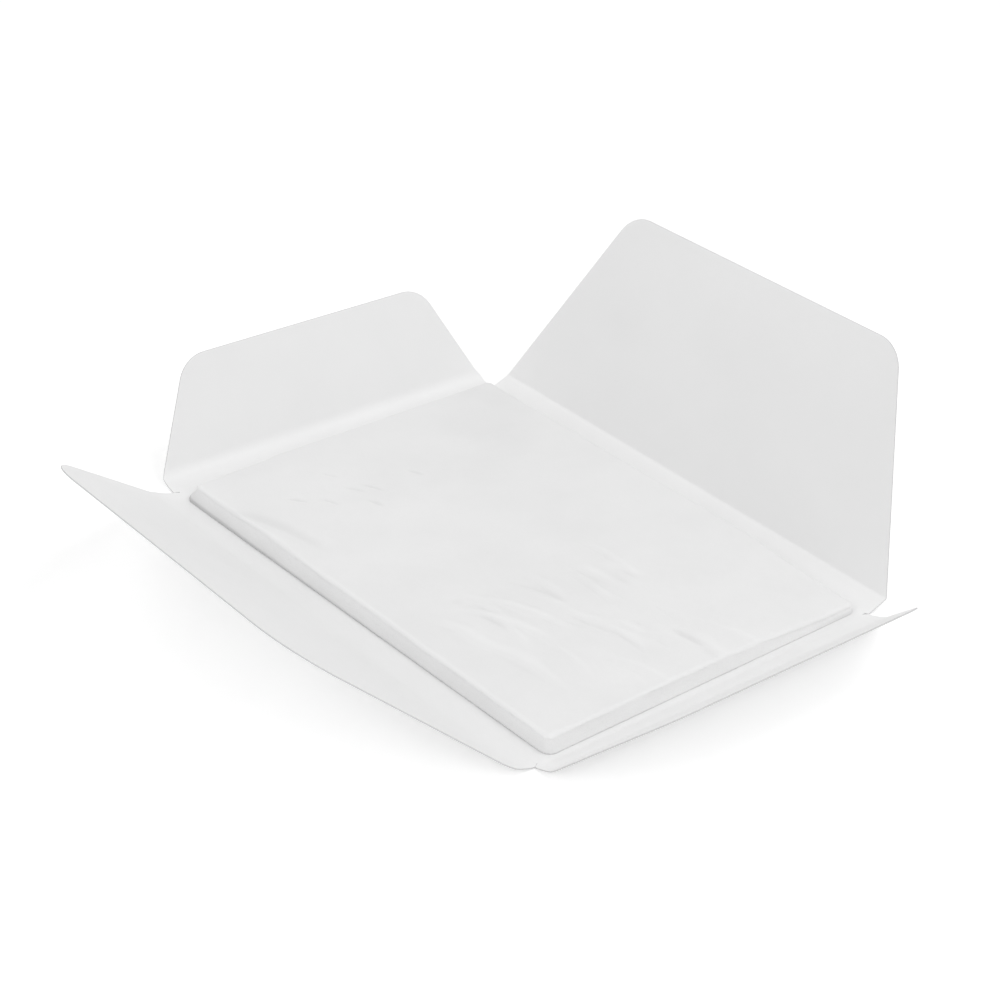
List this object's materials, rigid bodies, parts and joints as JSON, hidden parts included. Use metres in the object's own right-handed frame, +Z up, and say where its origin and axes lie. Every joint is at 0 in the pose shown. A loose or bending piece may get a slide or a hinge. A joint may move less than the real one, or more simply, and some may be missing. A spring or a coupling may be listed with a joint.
{
  "type": "wet palette",
  "caption": "Open four-flap creased folder holding a flat water-soaked sponge pad with a damp membrane sheet on top for mixing paint.",
  "frame": {"origin": "middle of the underside of the folder's base panel, on the table", "axes": "+Z up out of the folder; +X along the folder's long side, towards the right end flap; +Y along its short side, towards the back flap"},
  "size_m": [0.2832, 0.2722, 0.0834],
  "materials": {
    "folder_sheet": "satin",
    "sponge": "matte",
    "membrane": "satin"
  },
  "bodies": {
    "base": {"base_panel": "folder_sheet"},
    "left_strip": {"left_spine": "folder_sheet"},
    "left_wing": {"left_flap": "folder_sheet"},
    "right_strip": {"right_spine": "folder_sheet"},
    "right_wing": {"right_flap": "folder_sheet"},
    "front_strip": {"front_spine": "folder_sheet"},
    "front_wing": {"front_flap": "folder_sheet"},
    "back_strip": {"back_spine": "folder_sheet"},
    "back_wing": {"back_flap": "folder_sheet"},
    "sponge": {"sponge_pad": "sponge"},
    "membrane": {"membrane_sheet": "membrane"}
  },
  "joints": [
    {"name": "left_spine_fold", "type": "hinge", "parent": "base", "child": "left_strip", "pos_m": [-0.1095, 0, 0.00025], "axis": [0, -1, 0], "range_deg": [-76, 14]},
    {"name": "left_flap_fold", "type": "hinge", "parent": "left_strip", "child": "left_wing", "pos_m": [-0.11717, 0, 0.00216], "axis": [0, -1, 0], "range_deg": [-36, 54]},
    {"name": "right_spine_fold", "type": "hinge", "parent": "base", "child": "right_strip", "pos_m": [0.1095, 0, 0.00025], "axis": [0, 1, 0], "range_deg": [-70, 20]},
    {"name": "right_flap_fold", "type": "hinge", "parent": "right_strip", "child": "right_wing", "pos_m": [0.11692, 0, 0.00295], "axis": [0, 1, 0], "range_deg": [-67, 23]},
    {"name": "front_spine_fold", "type": "hinge", "parent": "base", "child": "front_strip", "pos_m": [0, -0.0795, 0.00025], "axis": [1, 0, 0], "range_deg": [-72, 18]},
    {"name": "front_flap_fold", "type": "hinge", "parent": "front_strip", "child": "front_wing", "pos_m": [0, -0.08768, 0.00291], "axis": [1, 0, 0], "range_deg": [-69, 21]},
    {"name": "back_spine_fold", "type": "hinge", "parent": "base", "child": "back_strip", "pos_m": [0, 0.0795, 0.00025], "axis": [-1, 0, 0], "range_deg": [-69, 21]},
    {"name": "back_flap_fold", "type": "hinge", "parent": "back_strip", "child": "back_wing", "pos_m": [0, 0.08818, 0.00358], "axis": [-1, 0, 0], "range_deg": [-43, 47]},
    {"name": "sponge_lift", "type": "slide", "parent": "base", "child": "sponge", "axis": [0, 0, 1], "range_m": [0, 0.05]},
    {"name": "membrane_lift", "type": "slide", "parent": "sponge", "child": "membrane", "axis": [0, 0, 1], "range_m": [0, 0.04]}
  ]
}
